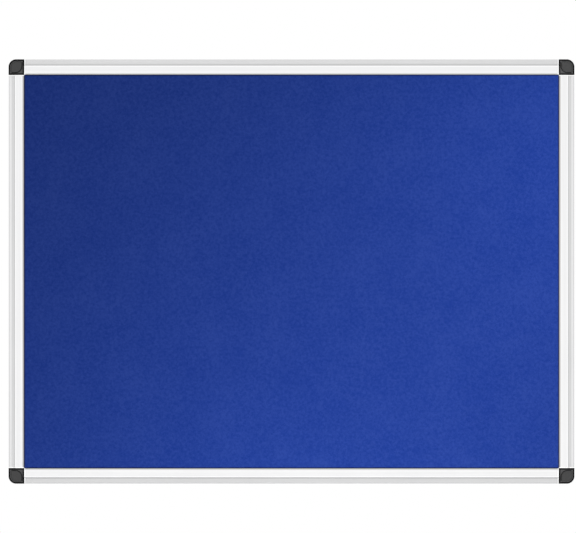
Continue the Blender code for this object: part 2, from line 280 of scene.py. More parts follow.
soft_lamp("key lamp", place=(0.41, -0.40, 0.19), target=(0.13, 0, -0.41), size=0.35, watts=2.0)
soft_lamp("low lamp", place=(0.03, -0.43, -0.48), target=(0.03, 0, -0.10), size=0.25, watts=2.15)
soft_lamp("front lamp", place=(0, -1.9, -0.55), target=ORIGIN, size=0.8, watts=0.5, mirrored=True)
soft_lamp("back lamp", place=(-0.9, 1.5, 0.6), target=ORIGIN, size=0.9, watts=22)

# %% [markdown]
# The board hangs on a wall in use, so the floor lies well below it, and below the low lamp, which
# would burn a white patch into a floor close by. It is a plain disc. Its material turns see-through
# towards the rim, so that the pale floor runs out into the white world with no horizon, and a little
# glow that only the camera and mirrors see lifts it towards white. It keeps the board's shadow.

# %% Floor
FLOOR_HEIGHT = -0.62
FLOOR_RADIUS = 1.25
FLOOR_FADE = (0.55, 1.225)
FLOOR_SIDES = 96
FLOOR_TONE = (0.86, 0.86, 0.86, 1)
FLOOR_LIFT = 0.22
FLATTEN = (1, 1, 0)


def as_mesh(name, shape):
    """A mesh from a bmesh."""
    mesh = bpy.data.meshes.new(name)
    shape.to_mesh(mesh)
    shape.free()
    return mesh


shape = bmesh.new()
bmesh.ops.create_circle(shape, cap_ends=True, segments=FLOOR_SIDES, radius=FLOOR_RADIUS)
bmesh.ops.translate(shape, verts=shape.verts, vec=(0, 0, FLOOR_HEIGHT))
floor = add_object("floor", as_mesh("floor", shape))
floor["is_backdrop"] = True

paper, tree, shader = new_material("pale floor", 0.9, 0.1, {"Base Color": FLOOR_TONE})
flat = add_node(tree, "VectorMath", {0: object_place(tree), 1: FLATTEN}, operation="MULTIPLY")
distance = add_node(tree, "VectorMath", {0: flat.outputs[0]}, operation="LENGTH").outputs["Value"]
fade = map_range(tree, distance, FLOOR_FADE, interpolation_type="SMOOTHSTEP")
rays = add_node(tree, "LightPath").outputs
seen = calculate(tree, "MAXIMUM", rays["Is Camera Ray"], rays["Is Glossy Ray"])
glow = add_node(tree, "Emission", {"Strength": calculate(tree, "MULTIPLY", seen, FLOOR_LIFT)})
lifted = add_node(tree, "AddShader", {0: shader.outputs[0], 1: glow.outputs[0]})
clear = add_node(tree, "BsdfTransparent")
blend = add_node(tree, "MixShader", {"Fac": fade, 1: lifted.outputs[0], 2: clear.outputs[0]})
feed(tree, tree.nodes["Material Output"], {"Surface": blend.outputs[0]})
floor.data.materials.append(paper)
print("floor", round(1000 * (-BOARD_HEIGHT / 2 - FLOOR_HEIGHT)), "mm below the board")

# %% [markdown]
# Aluminium rails are pushed through a die, so fine straight lines run along them. A noise texture
# does this when its coordinates are squeezed hard across the rail and hardly at all along it. The
# group takes the rail's own direction as a scale, so the level and the upright rails can share it.
# A second noise, several times finer, adds to the height, and a broad one gives faint clouds.

# %% Drawn metal group
FINE_TIMES = 6.0
FINE_SHARE = 0.4
METAL_CLOUD_SCALE = 14.0

drawn_lines, start, end = new_group(
    "drawn lines",
    {"Position": ORIGIN, "Stretch": (1, 1, 1), "Scale": 1.0},
    ["Lines", "Clouds", "Height"],
)
place, stretch, scale = start.outputs[:3]
squeeze = add_node(drawn_lines, "VectorMath", {0: place, 1: stretch}, operation="MULTIPLY")
squeezed = squeeze.outputs[0]
fine_scale = calculate(drawn_lines, "MULTIPLY", scale, FINE_TIMES)
lines = add_noise(drawn_lines, squeezed, scale, Detail=3.0, Roughness=0.6)
fine = add_noise(drawn_lines, squeezed, fine_scale, Detail=2.0, Roughness=0.7)
clouds = add_noise(drawn_lines, place, METAL_CLOUD_SCALE, Detail=3.0)
height = calculate(drawn_lines, "MULTIPLY_ADD", fine, FINE_SHARE, lines)
feed(drawn_lines, end, {"Lines": lines, "Clouds": clouds, "Height": height})
print("group:", drawn_lines.name)

# %% [markdown]
# Anodised aluminium is a metal with a satin skin. On this frame the low shoulder along the edge is
# darker than the wide land, partly as a duller etched skin and partly as painted shade. A painted
# shade line and a painted highlight mark the step between them, a painted highlight runs along the
# land near the lip, and the lip rounds off into painted shade. All of that depends on how far in
# from the board's edge a point lies, so it could be painted piece by piece, but one colour ramp that
# is read across the rail, in millimetres, does it all. The upright rails also get a painted highlight
# on the bead of their shoulder, as from light at the side, so shoulder and lip have a ramp part for
# each direction. The saw cut at each end is polished bare, and a painted glint turns it into a thin
# white band by the corners.

# %% Anodised aluminium
# the ramps paint shade at the step and the lip, and highlights at the step, by the lip and on the
# upright bead
# distance in from the board's edge in mm, tone
LEVEL_SHOULDER_PAINTED_SHADE = ((0.0, 0.73), (4.6, 0.70), (5.8, 0.56))
UPRIGHT_SHOULDER_PAINTED_LIGHT = (
    (0.0, 0.72), (1.1, 0.72), (1.5, 0.85), (2.6, 0.81), (3.2, 0.79), (3.6, 0.675), (4.6, 0.70),
    (5.4, 0.70), (5.8, 0.60),
)
LAND_PAINTED_HIGHLIGHTS = (
    (6.45, 0.56), (6.6, 1.0), (7.7, 1.0), (8.1, 0.905), (12.8, 0.905), (13.1, 0.96), (13.9, 0.96),
)
LEVEL_LIP_PAINTED_SHADE = ((14.3, 0.84), (15.0, 0.78), (15.3, 0.56), (16.05, 0.48), (16.22, 0.10), (16.5, 0.05))
UPRIGHT_LIP_PAINTED_SHADE = ((14.3, 0.84), (15.0, 0.72), (15.3, 0.45), (16.08, 0.38), (16.25, 0.10), (16.5, 0.05))
COOL_CAST = 1.005
LINE_SCALE = 700.0
LINE_STRETCH = 0.012
LINE_SPREAD = (0.3, 0.7)
LINE_TINT = (0.965, 1.0)
LINE_BUMP = 0.25
LINE_HEIGHT = 0.02 * MM
SATIN_ROUGHNESS = 0.38
CLOUD_SPREAD = (0.25, 0.75)
CLOUD_ROUGHNESS = (0.34, 0.46)
SEAM_GAP = 0.05 * MM
END_BAND = 1.1 * MM
BAND_BLUR = 0.15 * MM
BAND_ROUGHNESS = 0.10


def anodised(name, upright):
    """The rails' metal. Upright rails run along Z and level ones along X."""
    made, tree, shader = new_material(name, SATIN_ROUGHNESS, 0.5, {"Metallic": 1.0})
    across, along = ("X", "Z") if upright else ("Z", "X")
    reach, length = (BOARD_WIDTH, BOARD_HEIGHT) if upright else (BOARD_HEIGHT, BOARD_WIDTH)
    shoulder, lip = (UPRIGHT_SHOULDER_PAINTED_LIGHT, UPRIGHT_LIP_PAINTED_SHADE) if upright else (LEVEL_SHOULDER_PAINTED_SHADE, LEVEL_LIP_PAINTED_SHADE)
    stretch = (1, 1, LINE_STRETCH) if upright else (LINE_STRETCH, 1, 1)
    place = object_place(tree)
    axes = add_node(tree, "SeparateXYZ", {0: place}).outputs

    away = calculate(tree, "ABSOLUTE", axes[across])
    share = map_range(tree, calculate(tree, "SUBTRACT", reach / 2, away), (0.0, RAIL_FACE))
    # the ramp paints the rail's highlights and shade into its colour
    profile = [(at * MM / RAIL_FACE, (t, t, t * COOL_CAST)) for at, t in shoulder + LAND_PAINTED_HIGHLIGHTS + lip]
    tone = add_ramp(tree, share, profile)
    inputs = {"Position": place, "Stretch": stretch, "Scale": LINE_SCALE}
    lines = add_node(tree, "Group", inputs, node_tree=drawn_lines).outputs
    tint = map_range(tree, lines["Lines"], LINE_SPREAD, LINE_TINT)
    drawn = mix_colours(tree, 1.0, tone, tint, blend_type="MULTIPLY")
    satin = map_range(tree, lines["Clouds"], CLOUD_SPREAD, CLOUD_ROUGHNESS)

    band_at = length / 2 - RAIL_FACE - SEAM_GAP - END_BAND
    reached = calculate(tree, "ABSOLUTE", axes[along])
    band = map_range(tree, reached, (band_at, band_at + BAND_BLUR))
    buffed = add_node(tree, "Mix", {"Factor": band, "A": satin, "B": BAND_ROUGHNESS})
    # bare polished metal at the cut end, turned white by a painted glint
    bare_with_painted_glint = mix_colours(tree, band, drawn, WHITE)
    feed(tree, shader, {"Base Color": bare_with_painted_glint, "Roughness": buffed.outputs["Result"]})
    add_bump(tree, shader, lines["Height"], LINE_BUMP, LINE_HEIGHT)
    return made


aluminium_level = anodised("anodised aluminium, level", False)
aluminium_upright = anodised("anodised aluminium, upright", True)
print("ramp stops across an upright rail:", len(UPRIGHT_SHOULDER_PAINTED_LIGHT + LAND_PAINTED_HIGHLIGHTS + UPRIGHT_LIP_PAINTED_SHADE))

# %% [markdown]
# Moulded plastic copies the skin of its mould. The flats of such corners are spark-eroded, which
# leaves a fine matt grain, and the edges are polished. A close-packed noise gives the grain, and a
# slower one gives the faint cloudiness that keeps a dark surface from looking like a cut-out.

# %% Moulded grain group
GRAIN_CLOUD_SCALE = 260.0
SPECKLE_SHARE = 0.5

moulded_grain, start, end = new_group(
    "moulded grain",
    {"Position": ORIGIN, "Grain Size": 0.3 * MM},
    ["Grain", "Clouds", "Height"],
)
place, grain_size = start.outputs[:2]
scale = calculate(moulded_grain, "DIVIDE", 1.0, grain_size)
pits = add_node(moulded_grain, "TexVoronoi", {"Vector": place, "Scale": scale}, feature="SMOOTH_F1")
speckle = add_noise(moulded_grain, place, scale, Detail=2.0)
clouds = add_noise(moulded_grain, place, GRAIN_CLOUD_SCALE, Detail=3.0)
pit_depth = pits.outputs["Distance"]
height = calculate(moulded_grain, "MULTIPLY_ADD", speckle, SPECKLE_SHARE, pit_depth)
feed(moulded_grain, end, {"Grain": speckle, "Clouds": clouds, "Height": height})
print("group:", moulded_grain.name)

# %% [markdown]
# Four plastics come from that one group, and all of them are black. The moulding's rim and sides
# are polished: almost no grain and a low specular level, because in the photograph they stay black
# against white. The eroded flats and the cover look grey only because their grain scatters the
# white studio, so they have dark tones and a high specular level, and all four corners look alike
# whatever the lamps do. A fourth black lies between the two, and it paints shade on the recess walls
# that look towards the board's outer corner.

# %% Plastics
# dark tone, light tone, roughness, specular level, grain size, relief
PLASTICS = {
    "polished black": (
        (0.0010, 0.0010, 0.0011, 1), (0.0022, 0.0022, 0.0024, 1), 0.42, 0.05, 0.60 * MM, 0.004 * MM,
    ),
    "spark-eroded grey": (
        (0.0165, 0.0165, 0.0169, 1), (0.0255, 0.0255, 0.0262, 1), 0.55, 0.95, 0.22 * MM, 0.020 * MM,
    ),
    # a darker black that paints shade on the recess walls facing the board's outer corner
    "shade-painted black": (
        (0.0030, 0.0030, 0.0031, 1), (0.0058, 0.0058, 0.0060, 1), 0.45, 0.20, 0.40 * MM, 0.008 * MM,
    ),
    "grey cover": (
        (0.0060, 0.0060, 0.0063, 1), (0.0110, 0.0110, 0.0113, 1), 0.50, 0.84, 0.22 * MM, 0.015 * MM,
    ),
}
CLOUD_SHARE = 0.5
GRAIN_SPREAD = (0.3, 0.7)
GRAIN_BUMP = 0.5
ROUGHNESS_SWING = 0.06


def plastic(name, dark, light, roughness, specular, grain_size, relief):
    """A moulded plastic between two tones, with a grain of a given size and relief."""
    made, tree, shader = new_material(name, roughness, specular)
    inputs = {"Position": object_place(tree), "Grain Size": grain_size}
    skin = add_node(tree, "Group", inputs, node_tree=moulded_grain).outputs
    clouds = calculate(tree, "MULTIPLY", skin["Clouds"], CLOUD_SHARE)
    mask = calculate(tree, "MULTIPLY_ADD", skin["Grain"], 1 - CLOUD_SHARE, clouds)
    colour = mix_colours(tree, map_range(tree, mask, GRAIN_SPREAD), dark, light)
    swing = (roughness - ROUGHNESS_SWING, roughness + ROUGHNESS_SWING)
    dull = map_range(tree, skin["Clouds"], (0.0, 1.0), swing)
    feed(tree, shader, {"Base Color": colour, "Roughness": dull})
    add_bump(tree, shader, skin["Height"], GRAIN_BUMP, relief)
    return made


plastics = {name: plastic(name + " plastic", *recipe) for name, recipe in PLASTICS.items()}
print("plastics:", list(plastics))

# %% [markdown]
# Needle-punched felt has no weave. Loose fibres lie in every direction and matt together, so it
# looks like faint clouds a few millimetres wide with a fine tangle on top. The tangle is made of
# three stretched noises that cross each other, and the strongest of them shows at each point.
# A coarser noise makes the clumps, and a broad one makes the clouds.

# %% Felt group
FIBRE_TURNS = (1.2, 1.95, -0.5)
FIBRE_STRETCH = (7.0, 1.0, 1.0)
FELT_CLOUD_SCALE = 22.0
CLUMP_SHARE = 0.8

felt_fibres, start, end = new_group(
    "felt fibres",
    {"Position": ORIGIN, "Fibre Width": 0.25 * MM, "Clump Size": 3.0 * MM},
    ["Fibres", "Clumps", "Clouds", "Height"],
)
place, fibre_width, clump_size = start.outputs[:3]
fibre_scale = calculate(felt_fibres, "DIVIDE", 1.0, fibre_width)
clump_scale = calculate(felt_fibres, "DIVIDE", 1.0, clump_size)
strands = []
for turn in FIBRE_TURNS:
    inputs = {"Vector": place, "Rotation": (0, turn, 0), "Scale": FIBRE_STRETCH}
    lay = add_node(felt_fibres, "Mapping", inputs, vector_type="TEXTURE").outputs["Vector"]
    strands.append(add_noise(felt_fibres, lay, fibre_scale, Detail=2.0, Distortion=0.6))
tangle = calculate(felt_fibres, "MAXIMUM", strands[0], strands[1])
tangle = calculate(felt_fibres, "MAXIMUM", tangle, strands[2])
clumps = add_noise(felt_fibres, place, clump_scale, Detail=4.0, Roughness=0.6)
clouds = add_noise(felt_fibres, place, FELT_CLOUD_SCALE, Detail=3.0)
height = calculate(felt_fibres, "MULTIPLY_ADD", clumps, CLUMP_SHARE, tangle)
feed(felt_fibres, end, {"Fibres": tangle, "Clumps": clumps, "Clouds": clouds, "Height": height})
print("group:", felt_fibres.name)

# %% [markdown]
# Felt scatters light in its fibres, so it is very rough, has hardly any gloss, and shows a soft
# sheen when it is seen from the side. A noise keeps to a narrow band about its middle, so each of
# the three is stretched by its own spread first. Their weighted sum then picks from a dark, a middle
# and a light tone. The blue varies by a few per cent only, and the grey, which is a mix of light and
# dark fibres, far more. Beside the lips, where the felt is pressed flat, a painted shade makes it a
# little darker, as the lip's shadow would.

# %% Felts
LIP_X = BOARD_WIDTH / 2 - RAIL_FACE - FIT_GAP
LIP_Z = BOARD_HEIGHT / 2 - RAIL_FACE - FIT_GAP
LIP_SHADE_REACH = 1.2 * MM
LIP_SHADE_TONE = 0.72
FELT_SPREADS = {"Clouds": (0.28, 0.72), "Clumps": (0.28, 0.72), "Fibres": (0.48, 0.70)}
FELT_STOPS = (0.16, 0.41, 0.66)
FELT_ROUGHNESS = 0.95
FELT_SPECULAR = 0.08
FELT_BUMP = 0.6
SHEEN_ROUGHNESS = 0.6
SHEEN_PALER = 0.45
BLUE_TONES = ((0.0030, 0.0258, 0.229), (0.0083, 0.0372, 0.261), (0.0186, 0.0515, 0.292))
GREY_TONES = ((0.308, 0.313, 0.338), (0.399, 0.403, 0.433), (0.490, 0.490, 0.514))


def lip_painted_shade(tree, place):
    """A tone that paints shade on the felt beside the lips, where they press it flat."""
    axes = add_node(tree, "SeparateXYZ", {0: place}).outputs
    from_lips = [
        calculate(tree, "SUBTRACT", lip, calculate(tree, "ABSOLUTE", axes[axis]))
        for axis, lip in (("X", LIP_X), ("Z", LIP_Z))
    ]
    nearest = calculate(tree, "MINIMUM", *from_lips)
    tones = (LIP_SHADE_TONE, 1.0)
    return map_range(tree, nearest, (0.0, LIP_SHADE_REACH), tones, interpolation_type="SMOOTHSTEP")


def felt(name, tones, weights, relief, sheen):
    """Felt between three tones, mixed by the weights of its clouds, clumps and fibres."""
    paler = [min(1.0, c + SHEEN_PALER) for c in tones[-1]]
    nap = {"Sheen Weight": sheen, "Sheen Roughness": SHEEN_ROUGHNESS, "Sheen Tint": (*paler, 1)}
    made, tree, shader = new_material(name, FELT_ROUGHNESS, FELT_SPECULAR, nap)
    place = object_place(tree)
    fibres = add_node(tree, "Group", {"Position": place}, node_tree=felt_fibres).outputs
    parts = [
        map_range(tree, fibres[label], spread, (0.0, weight))
        for (label, spread), weight in zip(FELT_SPREADS.items(), weights)
    ]
    total = calculate(tree, "ADD", parts[0], parts[1])
    total = calculate(tree, "ADD", total, parts[2])
    tone = add_ramp(tree, total, zip(FELT_STOPS, tones))
    # the painted shade beside the lips is multiplied into the felt's colour
    colour = mix_colours(tree, 1.0, tone, lip_painted_shade(tree, place), blend_type="MULTIPLY")
    feed(tree, shader, {"Base Color": colour})
    add_bump(tree, shader, fibres["Height"], FELT_BUMP, relief)
    return made


blue_cloth = felt("blue felt", BLUE_TONES, (0.14, 0.44, 0.40), relief=0.10 * MM, sheen=0.30)
grey_cloth = felt("grey felt", GREY_TONES, (0.15, 0.65, 0.30), relief=0.12 * MM, sheen=0.08)
print("felts:", blue_cloth.name, "/", grey_cloth.name)

# %% [markdown]
# The core of the panel is soft fibreboard, which shows only on its cut edge. Its CAD shape is
# already right, a plain board with clipped corners, so it keeps the CAD mesh and gets a finish:
# the felt's fibres again, wider, in light and dark browns, as pressed wood pulp looks.

# %% Core board
PULP_SIZES = {"Fibre Width": 0.6 * MM, "Clump Size": 6.0 * MM}
PULP_DARK = (0.20, 0.125, 0.065, 1)
PULP_LIGHT = (0.47, 0.345, 0.225, 1)
PULP_BUMP = 0.7
PULP_HEIGHT = 0.15 * MM

core_material, tree, shader = new_material("soft fibreboard", 0.9, 0.15)
inputs = {"Position": object_place(tree), **PULP_SIZES}
pulp = add_node(tree, "Group", inputs, node_tree=felt_fibres).outputs
feed(tree, shader, {"Base Color": mix_colours(tree, pulp["Fibres"], PULP_DARK, PULP_LIGHT)})
add_bump(tree, shader, pulp["Height"], PULP_BUMP, PULP_HEIGHT)
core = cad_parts["core_board"]
core.data.materials.clear()
core.data.materials.append(core_material)
for part in core.material_slots:
    part.material = core_material
print("core board keeps its CAD mesh:", len(core.data.polygons), "faces")

# %% [markdown]
# Most pieces here are flat outlines with rounded corners that are pulled through the board, so a
# few helpers do nearly all of the modelling. The outline starts as corner points, and a vertex
# bevel rounds each of them with its own radius. The pull is an extrusion, and an edge bevel rounds
# the rims. A last helper makes the object: smooth shading with sharp edges kept, and normals
# weighted by face area so flats stay flat.

# %% Modelling helpers
ARC_STEP = 0.35 * MM
LEAST_STEPS = 4
LEVEL_WITHIN = 0.1 * MM
FLAT_FACING = 0.999
SHARP_ANGLE = math.radians(32)


def round_off(shape, parts, radius, steps, affect="EDGES"):
    """Bevels edges or vertices into arcs of one radius."""
    bmesh.ops.bevel(
        shape,
        geom=parts,
        offset=radius,
        offset_type="OFFSET",
        segments=steps,
        profile=0.5,
        affect=affect,
        clamp_overlap=affect == "EDGES",
        material=-1,
    )


def rounded_face(shape, corners, steps=None):
    """A flat face from (place, radius) corners. Arcs get steps of one length, or a set number."""
    verts = [shape.verts.new(place) for place, _ in corners]
    shape.faces.new(verts)
    for vert, (_, radius) in zip(verts, corners):
        if radius > 0:
            fitting = max(LEAST_STEPS, round(QUARTER * radius / ARC_STEP))
            round_off(shape, [vert], radius, steps or fitting, "VERTICES")
    shape.faces.ensure_lookup_table()
    return shape.faces[-1]


def outline_face(shape, corners, y):
    """A flat face from (x, z, radius) corners, at one height through the board."""
    return rounded_face(shape, [((x, y, z), radius) for x, z, radius in corners])


def only(kind, parts):
    """The vertices, edges or faces among the parts that an operator gives back."""
    return [part for part in parts if isinstance(part, kind)]


def pull(shape, faces, vector):
    """Extrudes faces by a vector, closes the shape, and turns its faces outwards."""
    pulled = bmesh.ops.extrude_face_region(shape, geom=faces)["geom"]
    bmesh.ops.translate(shape, verts=only(bmesh.types.BMVert, pulled), vec=vector)
    bmesh.ops.recalc_face_normals(shape, faces=shape.faces)


def slab(corners, low, high):
    """A closed prism between two heights through the board."""
    shape = bmesh.new()
    pull(shape, [outline_face(shape, corners, low)], (0, high - low, 0))
    return shape


def round_rims(shape, radius, steps):
    """Rounds the edges that run round a slab's two faces."""
    rims = [e for e in shape.edges if abs(e.verts[0].co.y - e.verts[1].co.y) < LEVEL_WITHIN]
    round_off(shape, rims, radius, steps)
    shape.normal_update()


def helper_object(name, shape):
    """An object from a bmesh, used as a step of a Boolean."""
    return add_object(name, as_mesh(name, shape))


def carve(base, unions, cuts):
    """Joins and cuts with Boolean modifiers, applies them, and returns the mesh alone."""
    for operation, others in (("UNION", unions), ("DIFFERENCE", cuts)):
        for other in others:
            step = base.modifiers.new(operation.lower(), "BOOLEAN")
            step.operation = operation
            step.solver = "EXACT"
            step.object = other
    bpy.context.view_layer.update()
    graph = bpy.context.evaluated_depsgraph_get()
    mesh = bpy.data.meshes.new_from_object(base.evaluated_get(graph))
    for old in [base, *unions, *cuts]:
        bpy.data.objects.remove(old)
    return mesh


def hard_piece(name, mesh, materials, body, node):
    """A finished rigid piece that rides on its body and stands for its CAD node."""
    piece = add_object(name, mesh)
    while len(mesh.materials) < len(materials):
        mesh.materials.append(None)
    for i, material in enumerate(materials):
        mesh.materials[i] = material
    mesh.shade_smooth()
    mesh.set_sharp_from_angle(angle=SHARP_ANGLE)
    flats = piece.modifiers.new("flats stay flat", "WEIGHTED_NORMAL")
    flats.keep_sharp = True
    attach(piece, body)
    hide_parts(node)


def report(name, mesh):
    """Prints a mesh's size and its number of faces."""
    spans = [[v.co[i] for v in mesh.vertices] for i in range(3)]
    print(name, in_mm(max(s) - min(s) for s in spans), "mm,", len(mesh.polygons), "faces")


print("modelling helpers ready")

# %% [markdown]
# A rail is one aluminium extrusion: a closed chamber along the outside for the corner's leg, and a
# channel on the inside that holds the panel between two lips. Only half of the section is drawn,
# from the outer wall over the bead, the cove, the step, the land and the lip, and back through the
# channel and the chamber. Its corners get their radii, the half is mirrored to the other face of the
# board, and the whole section is extruded along the rail.

# %% Rail section
# distance in from the board's edge, height of the face, radius, all in mm
RAIL_SECTION = (
    (0.0, 0.0, 0),
    (0.0, 5.1, 1.2),
    (2.1, 5.1, 0.45),
    (3.2, 4.72, 0.9),
    (5.9, 4.72, 0.9),
    (6.7, 5.0, 0.22),
    (6.7, 6.4, 0.40),
    (14.9, 6.4, 0.9),
    (16.5, 5.85, 0.55),
    (16.5, 5.1, 0.15),
    (8.2, 5.1, 0.30),
    (8.2, 0.0, 0),
    (6.9, 0.0, 0),
    (6.9, 3.45, 0.50),
    (1.3, 3.45, 0.50),
    (1.3, 0.0, 0),
)
SKIN_STEPS = 6
MERGE_WITHIN = 0.001 * MM


def rail_mesh(name, length, reach):
    """The extrusion as the top rail, centred on the board's middle and reaching up to its edge."""
    shape = bmesh.new()
    section = [((-length / 2, w * MM, reach - u * MM), r * MM) for u, w, r in RAIL_SECTION]
    rounded_face(shape, section, SKIN_STEPS)
    half = shape.verts[:] + shape.edges[:] + shape.faces[:]
    middle = Matrix.Identity(4)
    bmesh.ops.mirror(shape, geom=half, matrix=middle, merge_dist=MERGE_WITHIN, axis="Y")
    pull(shape, shape.faces[:], (length, 0, 0))
    return as_mesh(name, shape)


for turn, rail in enumerate(RAILS):
    upright = turn % 2 == 1
    side, across = (BOARD_HEIGHT, BOARD_WIDTH) if upright else (BOARD_WIDTH, BOARD_HEIGHT)
    name = rail + "_extrusion"
    mesh = rail_mesh(name, side - 2 * (RAIL_FACE + SEAM_GAP), across / 2)
    mesh.transform(Matrix.Rotation(QUARTER * turn, 4, "Y"))
    finish = aluminium_upright if upright else aluminium_level
    hard_piece(name, mesh, [finish], "board", rail)
    report(name, mesh)

# %% [markdown]
# The corner moulding is a block with one large outer radius. A polished rim runs round each face,
# and the eroded field inside it lies a hair lower. In the field there is a leaf-shaped recess whose
# sides slope outwards, and in the middle of that the well for the wall screw, with its seat and its
# countersink. Each of the two barbed legs grips one rail. The block starts as an extruded outline
# with bevelled rims and inset faces, and Boolean cutters take out the recess, the wells, the room
# for the panel and the pockets of the legs.

# %% Corner block
HALF = RAIL_FACE / 2
CORNER_RADIUS = 8.0 * MM
RIM_ROUNDING = 0.30 * MM
RIM_STEPS = 6
RIM_WIDTH = 1.95 * MM
FIELD_DROP = 0.15 * MM
FIELD_SLOPE = 0.10 * MM

corners = [(-HALF, -HALF, 0), (HALF, -HALF, 0), (HALF, HALF, 0), (-HALF, HALF, CORNER_RADIUS)]
block = slab(corners, -CORNER_FACE, CORNER_FACE)
round_rims(block, RIM_ROUNDING, RIM_STEPS)
flats = [f for f in block.faces if abs(f.normal.y) > FLAT_FACING and f.calc_area() > HALF**2]
bmesh.ops.inset_region(block, faces=flats, thickness=RIM_WIDTH - RIM_ROUNDING)
bmesh.ops.inset_region(block, faces=flats, thickness=FIELD_SLOPE, depth=-FIELD_DROP)
print("block:", len(block.faces), "faces before carving")

# %% [markdown]
# The leaf outline of the recess and of the cover is the same shape at different sizes: two tight
# corners, one that follows the block's outer radius, and one broad curve towards the felt. Growing
# the outline by a gap or a slope grows every radius with it, so the edges stay parallel. The recess
# is drawn as the shape of the air in it: three outlines at three heights, bridged to one skin.

# %% Leaf outlines
COVER_HALF = 5.35 * MM
LEAF_TIGHT = 0.8 * MM
LEAF_OUTER = 5.1 * MM
LEAF_INNER = 6.4 * MM
COVER_FACE = 7.0 * MM
COVER_UNDER = 5.8 * MM
POCKET_FLOOR = 5.5 * MM
SLOPE_RATIO = 1.25
CUT_SPARE = 2.0 * MM


def leaf(grow):
    """Corners of the leaf outline, seen from the front, for the board's upper left corner."""
    half = COVER_HALF + grow
    return [
        (-half, -half, LEAF_TIGHT + grow),
        (half, -half, LEAF_INNER + grow),
        (half, half, LEAF_TIGHT + grow),
        (-half, half, LEAF_OUTER + grow),
    ]


def recess_cutter(side):
    """The recess of one face: straight beside the cover, then sloping outwards to beyond the rim."""
    shape = bmesh.new()
    top = CORNER_FACE + CUT_SPARE
    flared = FIT_GAP + (top - COVER_FACE) * SLOPE_RATIO
    rings = []
    for height, grow in ((POCKET_FLOOR, FIT_GAP), (COVER_FACE, FIT_GAP), (top, flared)):
        face = outline_face(shape, leaf(FIT_GAP), side * height)
        share = (COVER_HALF + grow) / (COVER_HALF + FIT_GAP)
        bmesh.ops.scale(shape, verts=face.verts, vec=(share, 1, share))
        rings.append(face)
    edges = [face.edges[:] for face in rings]
    bmesh.ops.delete(shape, geom=[rings[1]], context="FACES_ONLY")
    for below, above in zip(edges, edges[1:]):
        bmesh.ops.bridge_loops(shape, edges=below + above)
    bmesh.ops.recalc_face_normals(shape, faces=shape.faces)
    return helper_object(f"recess {side}", shape)


cutters = [recess_cutter(side) for side in (-1, 1)]
print("recess cutters:", [len(c.data.polygons) for c in cutters], "faces")

# %% [markdown]
# Round things are turned: half a profile is drawn beside the axis and spun round it. The well for
# the screw is turned as the shape of the air in it, which a Boolean then takes away: the through
# hole, the countersink, the seat, and a groove that the cover's snap ring clicks into.

# %% Screw well
TURN_STEPS = 48
TURN_MERGE = 0.01 * MM
HOLE_RADIUS = 3.2 * MM
SEAT_FACE = 2.5 * MM
COUNTERSINK = 0.9 * MM
WELL_RADIUS = 4.6 * MM
GROOVE = 0.2 * MM
RING_END = 2.8 * MM
RING_BEAD_HEIGHT = 0.7 * MM


def turned(name, profile, closed):
    """Spins (radius, y) points about the Y axis."""
    shape = bmesh.new()
    verts = [shape.verts.new((radius, y, 0)) for radius, y in profile]
    pairs = list(zip(verts, verts[1:])) + ([(verts[-1], verts[0])] if closed else [])
    edges = [shape.edges.new(pair) for pair in pairs]
    bmesh.ops.spin(
        shape,
        geom=verts + edges,
        cent=ORIGIN,
        axis=(0, 1, 0),
        angle=2 * math.pi,
        steps=TURN_STEPS,
        use_merge=True,
    )
    bmesh.ops.remove_doubles(shape, verts=shape.verts, dist=TURN_MERGE)
    bmesh.ops.recalc_face_normals(shape, faces=shape.faces)
    return helper_object(name, shape)


groove_top = RING_END + RING_BEAD_HEIGHT + FIT_GAP
half_well = [
    (HOLE_RADIUS, SEAT_FACE - COUNTERSINK),
    (HOLE_RADIUS + COUNTERSINK, SEAT_FACE),
    (WELL_RADIUS + GROOVE, SEAT_FACE),
    (WELL_RADIUS + GROOVE, groove_top),
    (WELL_RADIUS, groove_top + GROOVE),
    (WELL_RADIUS, POCKET_FLOOR + FIT_GAP),
    (0, POCKET_FLOOR + FIT_GAP),
]
well = turned("screw well", [(r, -y) for r, y in reversed(half_well)] + half_well, closed=False)
cutters.append(well)
print("screw well:", len(well.data.polygons), "faces, hole", 2000 * HOLE_RADIUS, "mm")

# %% [markdown]
# A leg is a flat bar whose edges step out in five shallow barbs, so it slides into the rail's
# chamber and won't come back. Pockets in its faces save plastic and keep it from sinking as it
# cools. The leg is drawn for the top rail, and the other one is its mirror image in the diagonal.

# %% Legs
CHAMBER_LOW = 1.3 * MM
CHAMBER_HIGH = 6.9 * MM
CHAMBER_FACE = 3.45 * MM
LEG_LENGTH = 28.0 * MM
LEG_BARB = 0.3 * MM
LEG_RIM = 0.9 * MM
LEG_RIB = 1.4 * MM
LEG_WEB = 1.4 * MM
LEG_TIP = 1.2 * MM
BARBS = 5
POCKETS = 3
LEG_MIDDLE = HALF - (CHAMBER_LOW + CHAMBER_HIGH) / 2
LEG_HALF = (CHAMBER_HIGH - CHAMBER_LOW) / 2 - FIT_GAP - LEG_BARB
LEG_FACE = CHAMBER_FACE - FIT_GAP


def leg_outline():
    """The barbed leg to the right, seen from the front."""
    pitch = (LEG_LENGTH - LEG_TIP) / BARBS
    edge = [(HALF - CUT_SPARE, LEG_HALF)]
    for i in range(BARBS):
        foot = HALF + FIT_GAP + pitch * i + LEG_RIM
        edge += [(foot, LEG_HALF), (foot, LEG_HALF + LEG_BARB), (foot + pitch - LEG_RIM, LEG_HALF)]
    edge.append((HALF + LEG_LENGTH, LEG_HALF - LEG_TIP / 2))
    upper = [(x, LEG_MIDDLE + across, 0) for x, across in edge]
    lower = [(x, LEG_MIDDLE - across, 0) for x, across in reversed(edge)]
    return upper + lower


